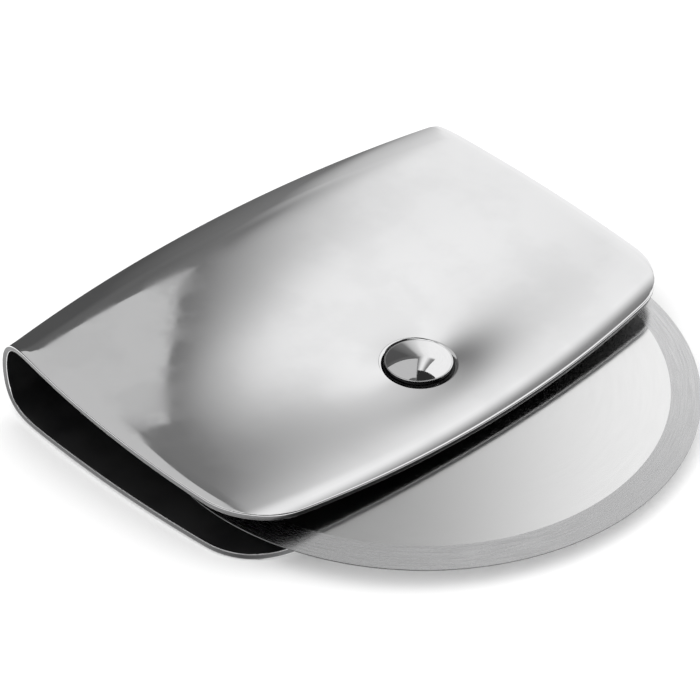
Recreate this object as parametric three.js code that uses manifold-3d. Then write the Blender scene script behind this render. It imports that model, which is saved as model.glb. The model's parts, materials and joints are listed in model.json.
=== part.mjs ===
// Pizza wheel: a round blade that turns on an axle between the two cheeks of one folded steel sheet.
// Millimetres. The wheel is drawn level in its own group, with Z along the axle, +Y from the axle towards the
// fold and X along the fold. That group is then tipped so that the lower cheek lies on the table, Z = 0.
import * as THREE from 'three';
import { ParametricGeometry } from 'three/addons/geometries/ParametricGeometry.js';
import { mergeGeometries, mergeVertices } from 'three/addons/utils/BufferGeometryUtils.js';
import Module from 'manifold-3d';

// Blade
const BLADE_DIAMETER = 100;
const BLADE_THICKNESS = 1.0;
const BEVEL_WIDTH = 5.4;
const CUTTING_EDGE = 0.2;

// Hub, from the blade outwards
const BUSH_DIAMETER = 9;
const THRUST_WASHER_DIAMETER = 15;
const THRUST_WASHER_THICKNESS = 0.4;
const BACKING_WASHER_DIAMETER = 12;
const BACKING_WASHER_THICKNESS = 1.25;

// Axle: a barrel with a domed head above, closed by a screw with a lower dome below
const BARREL_DIAMETER = 6;
const SCREW_DIAMETER = 3.8;
const SCREW_LENGTH = 5;
const HEAD_DIAMETER = 12.2;
const HEAD_HEIGHT = 0.85;
const HEAD_CHAMFER = 0.15;
const RIM_WIDTH = 0.4;
const BARREL_DOME = 1.0;
const BARREL_ROOF = 1.6;
const SCREW_DOME = 0.5;
const SOCKET_ACROSS_FLATS = 2;
const SOCKET_DEPTH = 2;

// Folded sheet. Reaches are measured from the axle, to the middle of the sheet's thickness.
const SHEET_THICKNESS = 1.2;
const BLADE_TO_FOLD = 6.9;
const FOLD_BOW_RADIUS = 274;
const FOLD_CREST_RADIUS = 12.5;
const SIDE_REACH = 53.75;
const SIDE_CREST_Y = 19.5;
const SIDE_BOW_RADIUS = 260;
const LIP_REACH = 19;
const LIP_BOW_RADIUS = 250;
const CORNER_RADIUS = 13.5;

// Height of the upper cheek over the blade's middle plane, at four lines across the sheet from fold to lip,
// along its middle and along its sides. The lower cheek mirrors it.
const HEIGHT_LINES = [44, 22, 0, -19];
const MIDDLE_HEIGHTS = [7.75, 6.1, 4.6, 3.05];
const SIDE_HEIGHTS = [7.5, 6.15, 5.35, 4.25];

// Broad valley pressed into each cheek over the axle, longer along the fold, and the flat seat of the head in it
const VALLEY_DEPTH = 1.0;
const VALLEY_Y = 5;
const VALLEY_SPREAD_X = 36;
const VALLEY_SPREAD_Y = 14;
const SEAT_RADIUS = 7;
const SEAT_BLEND_RADIUS = 11;

// Clearances
const RUNNING_CLEARANCE = 0.05;
const PRESS_CLEARANCE = 0.05;
const LOOSE_CLEARANCE = 0.15;
const RUNNING_GAP = 0.1;
const SEAT_GAP = 0.15;

// Facets
const ROUND_SEGMENTS = 48;
const BLADE_SEGMENTS = 96;
const DOME_STEPS = 6;
const SHEET_COLUMNS = 36;
const SHEET_ROWS = 60;
const CREST_CROWDING = 3;

// Heights of the stack over the blade's middle plane
const bladeFace = BLADE_THICKNESS / 2;
const thrustWasherBottom = bladeFace + RUNNING_GAP;
const thrustWasherTop = thrustWasherBottom + THRUST_WASHER_THICKNESS;
const backingWasherBottom = thrustWasherTop + RUNNING_GAP;
const backingWasherTop = backingWasherBottom + BACKING_WASHER_THICKNESS;
const seatHeight = backingWasherTop + SEAT_GAP + SHEET_THICKNESS / 2;
const headBottom = seatHeight + SHEET_THICKNESS / 2 + SEAT_GAP;
const headTop = headBottom + HEAD_HEIGHT;

const foldReach = BLADE_DIAMETER / 2 + BLADE_TO_FOLD + SHEET_THICKNESS / 2;

const wasm = await Module();
wasm.setup();

// Only positions are kept, so that corners shared by two faces become one vertex.
function welded(geometry) {
  const bare = geometry.clone();
  bare.deleteAttribute('normal');
  bare.deleteAttribute('uv');
  return mergeVertices(bare, 1e-4);
}

function toSolid(geometry) {
  const closed = welded(geometry);
  const vertProperties = new Float32Array(closed.attributes.position.array);
  const triVerts = new Uint32Array(closed.index.array);
  return new wasm.Manifold(new wasm.Mesh({ numProp: 3, vertProperties, triVerts }));
}

function toGeometry(solid) {
  const mesh = solid.getMesh();
  const geometry = new THREE.BufferGeometry();
  geometry.setAttribute('position', new THREE.BufferAttribute(mesh.vertProperties, 3));
  geometry.setIndex(new THREE.BufferAttribute(mesh.triVerts, 1));
  geometry.computeVertexNormals();
  return geometry;
}

// A turned piece: [radius, height] pairs, taken with the material on the left, spun about Z.
function turned(profile, segments = ROUND_SEGMENTS) {
  const points = profile.map(([radius, height]) => new THREE.Vector2(radius, height));
  return welded(new THREE.LatheGeometry(points, segments).rotateX(Math.PI / 2));
}

function ring(innerRadius, outerRadius, bottom, top, segments = ROUND_SEGMENTS) {
  return turned([
    [innerRadius, bottom],
    [outerRadius, bottom],
    [outerRadius, top],
    [innerRadius, top],
    [innerRadius, bottom],
  ], segments);
}

function mirroredBelow(geometry) {
  return geometry.clone().rotateX(Math.PI);
}

// Outline of the sheet: three bowed edges, with a round corner between each side and the lip

// The point where two circles meet, on the side of +X.
function meet(centreA, radiusA, centreB, radiusB) {
  const line = centreB.clone().sub(centreA);
  const distance = line.length();
  const along = (radiusA ** 2 - radiusB ** 2 + distance ** 2) / (2 * distance);
  const aside = Math.sqrt(radiusA ** 2 - along ** 2);
  const direction = line.divideScalar(distance);
  const normal = new THREE.Vector2(-direction.y, direction.x);
  const points = [aside, -aside].map((offset) => centreA.clone()
    .addScaledVector(direction, along)
    .addScaledVector(normal, offset));
  return points[0].x > points[1].x ? points[0] : points[1];
}

// The shorter arc of a circle from one point on it to another.
function arc(centre, radius, from, to) {
  const start = Math.atan2(from.y - centre.y, from.x - centre.x);
  const end = Math.atan2(to.y - centre.y, to.x - centre.x);
  return new THREE.EllipseCurve(centre.x, centre.y, radius, radius, start, end, end < start);
}

// The point where a circle inside another touches it.
function touch(outerCentre, outerRadius, innerCentre) {
  return innerCentre.clone().sub(outerCentre).setLength(outerRadius).add(outerCentre);
}

const sideCentre = new THREE.Vector2(SIDE_REACH - SIDE_BOW_RADIUS, SIDE_CREST_Y);
const lipCentre = new THREE.Vector2(0, LIP_BOW_RADIUS - LIP_REACH);
const foldCentre = new THREE.Vector2(0, foldReach - FOLD_BOW_RADIUS);
const foldEnd = meet(sideCentre, SIDE_BOW_RADIUS, foldCentre, FOLD_BOW_RADIUS);
const cornerCentre = meet(lipCentre, LIP_BOW_RADIUS - CORNER_RADIUS, sideCentre, SIDE_BOW_RADIUS - CORNER_RADIUS);
const sideTouch = touch(sideCentre, SIDE_BOW_RADIUS, cornerCentre);
const lipTouch = touch(lipCentre, LIP_BOW_RADIUS, cornerCentre);
const cornerMiddle = sideTouch.clone().add(lipTouch).divideScalar(2)
  .sub(cornerCentre).setLength(CORNER_RADIUS).add(cornerCentre);

const sideEdge = new THREE.CurvePath();
sideEdge.add(arc(sideCentre, SIDE_BOW_RADIUS, foldEnd, sideTouch));
sideEdge.add(arc(cornerCentre, CORNER_RADIUS, sideTouch, cornerMiddle));

const lipEdge = new THREE.CurvePath();
lipEdge.add(arc(lipCentre, LIP_BOW_RADIUS, new THREE.Vector2(0, -LIP_REACH), lipTouch));
lipEdge.add(arc(cornerCentre, CORNER_RADIUS, lipTouch, cornerMiddle));

// The fold's crest line over the plan.
function foldLine(x) {
  return foldCentre.y + Math.sqrt(FOLD_BOW_RADIUS ** 2 - x ** 2);
}

// Plan of one cheek. across runs from -1 to 1 along the fold, and depth from 0 at the fold to 1 at the lip.
// The four edges are blended, so that the grid's outer lines follow the outline.
function planPoint(across, depth) {
  const way = Math.sign(across);
  const right = (across + 1) / 2;
  const side = sideEdge.getPoint(depth);
  const lip = lipEdge.getPoint(Math.abs(across));
  const foldX = across * foldEnd.x;
  const fromFoldAndLip = new THREE.Vector2(
    (1 - depth) * foldX + depth * way * lip.x,
    (1 - depth) * foldLine(foldX) + depth * lip.y,
  );
  const fromSides = new THREE.Vector2((2 * right - 1) * side.x, side.y);
  const fromCorners = new THREE.Vector2(
    (2 * right - 1) * ((1 - depth) * foldEnd.x + depth * cornerMiddle.x),
    (1 - depth) * foldEnd.y + depth * cornerMiddle.y,
  );
  return fromFoldAndLip.add(fromSides).sub(fromCorners);
}

// Form of the sheet

// The cubic through the four heights given at HEIGHT_LINES.
function heightAlong(heights, y) {
  let height = 0;
  HEIGHT_LINES.forEach((line, i) => {
    let share = heights[i];
    HEIGHT_LINES.forEach((other, j) => {
      if (j !== i) {
        share *= (y - other) / (line - other);
      }
    });
    height += share;
  });
  return height;
}

function cheekHeight(x, y) {
  const sideways = (x / SIDE_REACH) ** 2;
  const swept = THREE.MathUtils.lerp(heightAlong(MIDDLE_HEIGHTS, y), heightAlong(SIDE_HEIGHTS, y), sideways);
  const fromValley = (x / VALLEY_SPREAD_X) ** 2 + ((y - VALLEY_Y) / VALLEY_SPREAD_Y) ** 2;
  const pressed = swept - VALLEY_DEPTH * Math.exp(-fromValley / 2);
  const outside = THREE.MathUtils.smootherstep(Math.hypot(x, y), SEAT_RADIUS, SEAT_BLEND_RADIUS);
  return THREE.MathUtils.lerp(seatHeight, pressed, outside);
}

// The middle of the sheet. along runs from 0 at the upper lip, round the fold at 0.5, to 1 at the lower lip.
// Rows crowd together at the fold, and the crest there is round.
function middlePoint(across, along) {
  const share = Math.abs(2 * along - 1);
  const depth = (1 + CREST_CROWDING) * share ** 2 / (1 + CREST_CROWDING * share);
  const plan = planPoint(across, depth);
  const behindCrest = Math.max(foldLine(plan.x) - plan.y, 0);
  const height = cheekHeight(plan.x, plan.y);
  const rounded = height * Math.sqrt(1 - Math.exp(-2 * FOLD_CREST_RADIUS * behindCrest / height ** 2));
  return new THREE.Vector3(plan.x, plan.y, along < 0.5 ? rounded : -rounded);
}

// The outer skin has side 1 and the inner skin side -1.
function skinPoint(across, along, side) {
  const step = 1e-3;
  const alongX = middlePoint(Math.min(across + step, 1), along)
    .sub(middlePoint(Math.max(across - step, -1), along));
  const alongSheet = middlePoint(across, Math.min(along + step, 1))
    .sub(middlePoint(across, Math.max(along - step, 0)));
  const normal = alongX.cross(alongSheet).normalize();
  return middlePoint(across, along).addScaledVector(normal, side * SHEET_THICKNESS / 2);
}

function patch(point, slices, stacks) {
  return new ParametricGeometry((u, v, target) => target.copy(point(u, v)), slices, stacks);
}

function handleSheet() {
  const across = (u) => 2 * u - 1;
  const side = (u) => 2 * u - 1;
  const skinsAndEdges = [
    patch((u, v) => skinPoint(across(u), v, 1), SHEET_COLUMNS, SHEET_ROWS),
    patch((u, v) => skinPoint(across(1 - u), v, -1), SHEET_COLUMNS, SHEET_ROWS),
    patch((u, v) => skinPoint(1, v, side(1 - u)), 1, SHEET_ROWS),
    patch((u, v) => skinPoint(-1, v, side(u)), 1, SHEET_ROWS),
    patch((u, v) => skinPoint(across(v), 0, side(1 - u)), 1, SHEET_COLUMNS),
    patch((u, v) => skinPoint(across(v), 1, side(u)), 1, SHEET_COLUMNS),
  ];
  const holeRadius = BARREL_DIAMETER / 2 + LOOSE_CLEARANCE;
  const throughBothCheeks = 2 * headTop;
  const hole = new THREE.CylinderGeometry(holeRadius, holeRadius, throughBothCheeks, ROUND_SEGMENTS)
    .rotateX(Math.PI / 2);
  return toGeometry(toSolid(mergeGeometries(skinsAndEdges)).subtract(toSolid(hole)));
}

// Blade and hub

function cuttingBlade() {
  const bore = BUSH_DIAMETER / 2 + PRESS_CLEARANCE;
  const rim = BLADE_DIAMETER / 2;
  const flat = rim - BEVEL_WIDTH;
  return turned([
    [bore, -bladeFace],
    [flat, -bladeFace],
    [rim, -CUTTING_EDGE / 2],
    [rim, CUTTING_EDGE / 2],
    [flat, bladeFace],
    [bore, bladeFace],
    [bore, -bladeFace],
  ], BLADE_SEGMENTS);
}

function hubBush() {
  return ring(BARREL_DIAMETER / 2 + RUNNING_CLEARANCE, BUSH_DIAMETER / 2, -thrustWasherTop, thrustWasherTop);
}

function thrustWasher() {
  const bore = BUSH_DIAMETER / 2 + LOOSE_CLEARANCE;
  return ring(bore, THRUST_WASHER_DIAMETER / 2, thrustWasherBottom, thrustWasherTop);
}

function backingWasher() {
  const bore = BARREL_DIAMETER / 2 + LOOSE_CLEARANCE;
  return ring(bore, BACKING_WASHER_DIAMETER / 2, backingWasherBottom, backingWasherTop);
}

// Axle

// The top of a head, from its outer wall to the axis: chamfer, flat rim and round dome.
function domedTop(domeHeight) {
  const radius = HEAD_DIAMETER / 2;
  const rimOuter = radius - HEAD_CHAMFER;
  const rimInner = rimOuter - RIM_WIDTH;
  const domeRadius = (rimInner ** 2 + domeHeight ** 2) / (2 * domeHeight);
  const domeCentre = headTop + domeHeight - domeRadius;
  const profile = [
    [radius, headTop - HEAD_CHAMFER],
    [rimOuter, headTop],
  ];
  for (let step = 0; step <= DOME_STEPS; step += 1) {
    const distance = rimInner * (1 - step / DOME_STEPS);
    profile.push([distance, domeCentre + Math.sqrt(domeRadius ** 2 - distance ** 2)]);
  }
  return profile;
}

function axleBarrel() {
  const radius = BARREL_DIAMETER / 2;
  const bore = SCREW_DIAMETER / 2 + RUNNING_CLEARANCE;
  const bottom = -headBottom + RUNNING_GAP;
  const roof = headTop - BARREL_ROOF;
  return turned([
    [0, roof],
    [bore, roof],
    [bore, bottom],
    [radius, bottom],
    [radius, headBottom],
    [HEAD_DIAMETER / 2, headBottom],
    ...domedTop(BARREL_DOME),
  ]);
}

// Drawn head up, as the barrel is, and turned over afterwards.
function axleScrew() {
  const radius = SCREW_DIAMETER / 2;
  const tip = headBottom - SCREW_LENGTH;
  const screw = turned([
    [0, tip],
    [radius, tip],
    [radius, headBottom],
    [HEAD_DIAMETER / 2, headBottom],
    ...domedTop(SCREW_DOME),
  ]);
  const socketRadius = SOCKET_ACROSS_FLATS / Math.sqrt(3);
  const socket = new THREE.CylinderGeometry(socketRadius, socketRadius, SOCKET_DEPTH, 6)
    .rotateX(Math.PI / 2)
    .translate(0, 0, headTop + SCREW_DOME - SOCKET_DEPTH / 2);
  return mirroredBelow(toGeometry(toSolid(screw).subtract(toSolid(socket))));
}

// Assembly

const polishedSteel = { color: 0xd9dadb, metalness: 1, roughness: 0.08 };
const bladeSteel = { color: 0xc9cacc, metalness: 1, roughness: 0.18 };
const turnedSteel = { color: 0xb9bbbe, metalness: 1, roughness: 0.15 };
const washerSteel = { color: 0xa5a7aa, metalness: 1, roughness: 0.35 };
const blackAcetal = { color: 0x1c1c1d, metalness: 0, roughness: 0.5 };
const whiteNylon = { color: 0xe6e4dd, metalness: 0, roughness: 0.55 };

const wheel = new THREE.Group();

function place(name, geometry, finish) {
  const mesh = new THREE.Mesh(geometry, new THREE.MeshStandardMaterial(finish));
  mesh.name = name;
  wheel.add(mesh);
  return mesh;
}

const sheet = place('handle_sheet', handleSheet(), polishedSteel);
place('cutting_blade', cuttingBlade(), bladeSteel);
place('hub_bush', hubBush(), blackAcetal);
place('upper_thrust_washer', thrustWasher(), whiteNylon);
place('lower_thrust_washer', mirroredBelow(thrustWasher()), whiteNylon);
place('upper_backing_washer', backingWasher(), washerSteel);
place('lower_backing_washer', mirroredBelow(backingWasher()), washerSteel);
place('axle_barrel', axleBarrel(), turnedSteel);
place('axle_screw', axleScrew(), turnedSteel);

// The tilt at which the sheet lies on a table: seen along X, the lowest line under it on both sides of its
// middle, from a point near the fold to a point near the lip.
function restTilt(geometry) {
  const middle = (foldReach - LIP_REACH) / 2;
  const position = geometry.attributes.position;
  const nearFold = [];
  const nearLip = [];
  for (let i = 0; i < position.count; i += 1) {
    const point = { y: position.getY(i), z: position.getZ(i) };
    (point.y > middle ? nearFold : nearLip).push(point);
  }
  let lowest = Infinity;
  let tilt = 0;
  nearFold.forEach((back) => {
    nearLip.forEach((front) => {
      const slope = (front.z - back.z) / (back.y - front.y);
      const heightAtMiddle = back.z + slope * (back.y - middle);
      if (heightAtMiddle < lowest) {
        lowest = heightAtMiddle;
        tilt = Math.atan(slope);
      }
    });
  });
  return tilt;
}

wheel.rotation.x = restTilt(sheet.geometry);
wheel.updateMatrixWorld(true);

// The origin is on the table, under the middle of the wheel.
const box = new THREE.Box3().setFromObject(wheel, true);
const centre = box.getCenter(new THREE.Vector3());
wheel.position.set(-centre.x, -centre.y, -box.min.z);

const pizzaWheel = new THREE.Group();
pizzaWheel.name = 'pizza_wheel';
pizzaWheel.add(wheel);

export default pizzaWheel;
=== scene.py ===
"""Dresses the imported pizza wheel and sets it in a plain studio.

One polished sheet, folded in two, holds a round blade on an axle with domed heads. Lengths in the classes
are millimetres in the wheel's own level frame: Z along the axle, +Y from the axle towards the fold, X along
the fold, with the origin at the middle of the blade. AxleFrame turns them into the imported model's metres.
"""

import json
import logging
import math
from dataclasses import dataclass, field
from enum import Enum, IntEnum
from functools import cache
from typing import Any, Iterable, Sequence

import bmesh
import bpy
from bmesh.types import BMEdge, BMesh, BMFace, BMVert
from bpy.types import Material, Node, NodeSocket, NodeTree, Object, Scene, ShaderNodeTree
from mathutils import Matrix, Vector


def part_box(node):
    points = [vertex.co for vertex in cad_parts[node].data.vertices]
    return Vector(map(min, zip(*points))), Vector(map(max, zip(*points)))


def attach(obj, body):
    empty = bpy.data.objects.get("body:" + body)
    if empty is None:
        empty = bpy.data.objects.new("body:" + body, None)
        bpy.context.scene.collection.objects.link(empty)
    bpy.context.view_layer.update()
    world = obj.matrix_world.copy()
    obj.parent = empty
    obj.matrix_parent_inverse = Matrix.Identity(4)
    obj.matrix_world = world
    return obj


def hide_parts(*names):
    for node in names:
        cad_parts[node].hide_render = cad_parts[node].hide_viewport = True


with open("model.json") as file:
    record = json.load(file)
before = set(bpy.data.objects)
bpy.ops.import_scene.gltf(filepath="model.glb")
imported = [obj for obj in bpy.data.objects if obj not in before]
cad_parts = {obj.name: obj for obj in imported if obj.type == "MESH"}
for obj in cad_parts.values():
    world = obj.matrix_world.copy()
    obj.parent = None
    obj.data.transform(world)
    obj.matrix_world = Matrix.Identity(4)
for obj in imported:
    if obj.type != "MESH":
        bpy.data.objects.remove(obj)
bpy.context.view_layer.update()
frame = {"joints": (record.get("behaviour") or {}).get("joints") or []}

Colour = tuple[float, float, float]
Pair = tuple[float, float]

LOG = logging.getLogger("pizza_wheel")
MM = 0.001
ORIGIN = Vector((0.0, 0.0, 0.0))
UP = Vector((0.0, 0.0, 1.0))
UNIT_RANGE: Pair = (0.0, 1.0)
MERGE_DISTANCE = 1e-4


class Body(Enum):
    """The bodies that pieces move with."""

    HANDLE = "handle"
    BLADE = "blade"


class Slot(Enum):
    """The record's material slots."""

    SHEET = "polished_sheet"
    BLADE = "blade_steel"
    BUSH = "bush_plastic"
    NYLON_WASHER = "washer_plastic"
    STEEL_WASHER = "washer_steel"
    AXLE = "axle_steel"


class Side(Enum):
    """The two sides of the blade, as a sign along the axle."""

    UPPER = 1
    LOWER = -1


def blend(start: float, end: float, share: float) -> float:
    """Goes from start to end as share goes from 0 to 1."""
    return start + (end - start) * share


def eased(value: float, low: float, high: float) -> float:
    """Rises from 0 at low to 1 at high, with no slope or bend at either end."""
    share = min(max((value - low) / (high - low), 0.0), 1.0)
    return share ** 3 * (share * (6.0 * share - 15.0) + 10.0)


def hollow(depth: float, spread: Pair, x: float, y: float) -> float:
    """The depth of a soft round hollow at a place that is measured from its middle."""
    return depth * math.exp(-((x / spread[0]) ** 2 + (y / spread[1]) ** 2) / 2.0)


@dataclass(frozen=True)
class AxleFrame:
    """Where the wheel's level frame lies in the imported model.

    Attributes:
        centre: The middle of the blade, in metres.
        tilt: The turn about X from level to lying on the table, in radians.
    """

    centre: Vector
    tilt: float

    @classmethod
    def from_joint(cls, joint: dict[str, Any]) -> "AxleFrame":
        """Reads the frame off the hinge that the blade turns on.

        Args:
            joint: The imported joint, with its place and its axis.

        Returns:
            The level frame at rest.
        """
        axis = Vector(joint["axis"])
        return cls(Vector(joint["pos_m"]), math.atan2(-axis.y, axis.z))

    @property
    def rest(self) -> Matrix:
        """The turn and the shift from level to lying on the table, in metres."""
        return Matrix.Translation(self.centre) @ Matrix.Rotation(self.tilt, 4, "X")

    @property
    def matrix(self) -> Matrix:
        """Level millimetres to packed metres."""
        return self.rest @ Matrix.Scale(MM, 4)


AXLE = AxleFrame.from_joint(frame["joints"][0])


def node_width(node: str) -> float:
    """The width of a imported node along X, in millimetres."""
    low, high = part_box(node)
    return (high.x - low.x) / MM


# Shader building


class MixSocket(IntEnum):
    """The numbers of the Mix node's colour sockets: three inputs and one output."""

    SHARE = 0
    FIRST = 6
    SECOND = 7
    RESULT = 2


class ShaderSheet:
    """Adds nodes to one node tree and joins them."""

    def __init__(self, tree: NodeTree) -> None:
        """Takes the tree and clears it."""
        self.tree = tree
        tree.nodes.clear()

    def add(self, kind: str, inputs: dict[Any, Any] | None = None, **settings: Any) -> Node:
        """Adds a node.

        Args:
            kind: The node's type name.
            inputs: Values, or sockets to link from, by input name or number.
            **settings: The node's own properties.

        Returns:
            The new node.
        """
        node = self.tree.nodes.new(kind)
        for name, value in settings.items():
            setattr(node, name, value)
        self.plug(node, inputs or {})
        return node

    def plug(self, node: Node, inputs: dict[Any, Any]) -> None:
        """Sets or links a node's inputs.

        Args:
            node: The node.
            inputs: Values, or sockets to link from, by input name or number.
        """
        for key, value in inputs.items():
            if isinstance(value, NodeSocket):
                self.tree.links.new(value, node.inputs[key])
            else:
                node.inputs[key].default_value = value

    def math(self, operation: str, first: Any, second: Any) -> NodeSocket:
        """Works out one value from two values or sockets."""
        return self.add("ShaderNodeMath", {0: first, 1: second}, operation=operation).outputs[0]

    def ranged(self, value: NodeSocket, source: Pair, target: Pair = UNIT_RANGE) -> NodeSocket:
        """Maps a value from one range to another, eased at both ends.

        Args:
            value: The socket to read.
            source: The range of the value.
            target: The range of the result.

        Returns:
            The mapped socket.
        """
        inputs = {"Value": value, "From Min": source[0], "From Max": source[1]}
        inputs |= {"To Min": target[0], "To Max": target[1]}
        return self.add("ShaderNodeMapRange", inputs, interpolation_type="SMOOTHSTEP").outputs[0]

    def noise(self, vector: NodeSocket, scale: float | NodeSocket, detail: float) -> NodeSocket:
        """Adds a noise texture and returns its value."""
        inputs = {"Vector": vector, "Scale": scale, "Detail": detail}
        return self.add("ShaderNodeTexNoise", inputs).outputs[0]

    def mixed(self, share: NodeSocket, first: Any, second: Any) -> NodeSocket:
        """Mixes two colours.

        Args:
            share: The socket that runs from 0 to 1.
            first: The colour at 0, or the socket that gives it.
            second: The colour at 1, or the socket that gives it.

        Returns:
            The mixed colour's socket.
        """
        inputs = {MixSocket.SHARE: share, MixSocket.FIRST: first, MixSocket.SECOND: second}
        return self.add("ShaderNodeMix", inputs, data_type="RGBA").outputs[MixSocket.RESULT]


class MaterialSheet(ShaderSheet):
    """A new material's node tree."""

    def __init__(self, name: str) -> None:
        """Makes the material and clears its tree."""
        self.material = bpy.data.materials.new(name)
        self.material.use_nodes = True
        super().__init__(self.material.node_tree)

    def show(self, shader: Node) -> None:
        """Makes a shader the material's surface."""
        self.add("ShaderNodeOutputMaterial", {"Surface": shader.outputs[0]})


class FinishSheet(MaterialSheet):
    """A finish's node tree, with its Principled shader and the wheel's level coordinates."""

    def __init__(self, name: str) -> None:
        """Adds the shader and the Mapping node that finds places in level millimetres."""
        super().__init__(name)
        self.shader = self.add("ShaderNodeBsdfPrincipled")
        self.show(self.shader)
        where = self.add("ShaderNodeTexCoord")
        inputs = {"Vector": where.outputs["Object"], "Location": AXLE.centre}
        inputs |= {"Rotation": (AXLE.tilt, 0.0, 0.0), "Scale": (MM, MM, MM)}
        self.place = self.add("ShaderNodeMapping", inputs, vector_type="TEXTURE").outputs[0]

    def group(self, tree: ShaderNodeTree, inputs: dict[str, Any]) -> Node:
        """Places a node group that reads the level coordinates.

        Args:
            tree: The group's tree.
            inputs: Values by input name.

        Returns:
            The group node.
        """
        return self.add("ShaderNodeGroup", {"Place": self.place, **inputs}, node_tree=tree)

    def feed(self, **inputs: Any) -> None:
        """Sets or links the shader's inputs, with underscores in their names for spaces."""
        self.plug(self.shader, {name.replace("_", " "): value for name, value in inputs.items()})

    def tinted(self, share: NodeSocket, first: Colour, second: Colour) -> NodeSocket:
        """Mixes two plain colours by a share that changes over the surface."""
        return self.mixed(share, (*first, 1.0), (*second, 1.0))

    def bumped(self, height: NodeSocket, strength: float, depth: float) -> None:
        """Feeds the shader's normal from a height.

        Args:
            height: The socket that holds the height, from 0 to 1.
            strength: The share of the bump that shows.
            depth: The bump's depth, in millimetres.
        """
        inputs = {"Strength": strength, "Distance": depth * MM, "Height": height}
        self.feed(Normal=self.add("ShaderNodeBump", inputs).outputs[0])


VALUE = "NodeSocketFloat"
VECTOR = "NodeSocketVector"
SMUDGE_DETAIL = 4.0
SMUDGE_RANGE: Pair = (0.38, 0.66)
HAIRLINE_DETAIL = 2.0
HAIRLINE_STRETCH = (0.04, 1.0, 1.0)
LINE_DETAIL = 3.0
ACROSS_AXLE = (1.0, 1.0, 0.0)


def new_group(name: str, inputs: dict[str, str], outputs: dict[str, str]) -> ShaderNodeTree:
    """Makes an empty shader node group.

    Args:
        name: The group's name.
        inputs: Socket types by input name.
        outputs: Socket types by output name.

    Returns:
        The group's tree, with its sockets.
    """
    tree = bpy.data.node_groups.new(name, "ShaderNodeTree")
    for direction, sockets in (("INPUT", inputs), ("OUTPUT", outputs)):
        for socket_name, kind in sockets.items():
            tree.interface.new_socket(socket_name, in_out=direction, socket_type=kind)
    return tree


@cache
def handling_marks() -> ShaderNodeTree:
    """Builds, once, the group of soft smudges and straight hairlines that a polished face picks up in use.

    Returns:
        A group that reads a place in millimetres and gives both as values from 0 to 1.
    """
    inputs = {"Place": VECTOR, "Smudge Scale": VALUE, "Hairline Scale": VALUE}
    tree = new_group("handling_marks", inputs, {"Smudge": VALUE, "Hairline": VALUE})
    sheet = ShaderSheet(tree)
    source = sheet.add("NodeGroupInput").outputs
    blotch = sheet.noise(source["Place"], source["Smudge Scale"], SMUDGE_DETAIL)
    smudge = sheet.ranged(blotch, SMUDGE_RANGE)
    inputs = {0: source["Place"], 1: HAIRLINE_STRETCH}
    stretched = sheet.add("ShaderNodeVectorMath", inputs, operation="MULTIPLY").outputs[0]
    hairline = sheet.noise(stretched, source["Hairline Scale"], HAIRLINE_DETAIL)
    sheet.add("NodeGroupOutput", {"Smudge": smudge, "Hairline": hairline})
    return tree


@cache
def turning_lines() -> ShaderNodeTree:
    """Builds, once, the group of fine lines round the axle that grinding and turning leave.

    Returns:
        A group that reads a place in millimetres and gives the lines as a value from 0 to 1.
    """
    inputs = {"Place": VECTOR, "Lines per mm": VALUE, "Breaks": VALUE}
    tree = new_group("turning_lines", inputs, {"Lines": VALUE})
    sheet = ShaderSheet(tree)
    source = sheet.add("NodeGroupInput").outputs
    inputs = {0: source["Place"], 1: ACROSS_AXLE}
    flat = sheet.add("ShaderNodeVectorMath", inputs, operation="MULTIPLY").outputs[0]
    radius = sheet.add("ShaderNodeVectorMath", {0: flat}, operation="LENGTH").outputs["Value"]
    way = sheet.add("ShaderNodeVectorMath", {0: flat}, operation="NORMALIZE").outputs[0]
    inputs = {0: way, "Scale": source["Breaks"]}
    spread = sheet.add("ShaderNodeVectorMath", inputs, operation="SCALE").outputs[0]
    x, y, _ = sheet.add("ShaderNodeSeparateXYZ", {0: spread}).outputs
    depth = sheet.math("MULTIPLY", radius, source["Lines per mm"])
    joined = sheet.add("ShaderNodeCombineXYZ", {0: x, 1: y, 2: depth}).outputs[0]
    sheet.add("NodeGroupOutput", {"Lines": sheet.noise(joined, 1.0, LINE_DETAIL)})
    return tree


# Finishes


@dataclass(frozen=True)
class Finish:
    """What all finishes share: the material's name, and how it is built."""

    name: str

    def material(self) -> Material:
        """Builds the finish.

        Returns:
            The material.
        """
        sheet = FinishSheet(self.name)
        self.lay(sheet)
        return sheet.material

    def lay(self, sheet: FinishSheet) -> None:
        """Adds the finish's own nodes to its sheet and feeds the shader from them."""
        raise NotImplementedError


@dataclass(frozen=True)
class MirrorPolish(Finish):
    """Steel polished to a mirror, with faint smudges and hairlines.

    Attributes:
        clean: The colour where it is clean.
        touched: The colour where it has been handled.
        roughness: The roughness of clean and of handled steel.
        smudge_scale: The smudges per millimetre.
        hairline_scale: The hairlines per millimetre.
        hairline_depth: The depth of the hairlines, in millimetres.
        hairline_strength: The share of that depth that shows.
    """

    clean: Colour = (0.86, 0.86, 0.865)
    touched: Colour = (0.83, 0.83, 0.835)
    roughness: Pair = (0.03, 0.07)
    smudge_scale: float = 0.09
    hairline_scale: float = 5.0
    hairline_depth: float = 0.0006
    hairline_strength: float = 0.3

    def lay(self, sheet: FinishSheet) -> None:
        """Lays smudges over the polish and hairlines in it."""
        scales = {"Smudge Scale": self.smudge_scale, "Hairline Scale": self.hairline_scale}
        marks = sheet.group(handling_marks(), scales).outputs
        sheet.feed(Metallic=1.0, Base_Color=sheet.tinted(marks["Smudge"], self.clean, self.touched))
        sheet.feed(Roughness=sheet.ranged(marks["Smudge"], UNIT_RANGE, self.roughness))
        sheet.bumped(marks["Hairline"], self.hairline_strength, self.hairline_depth)


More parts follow.
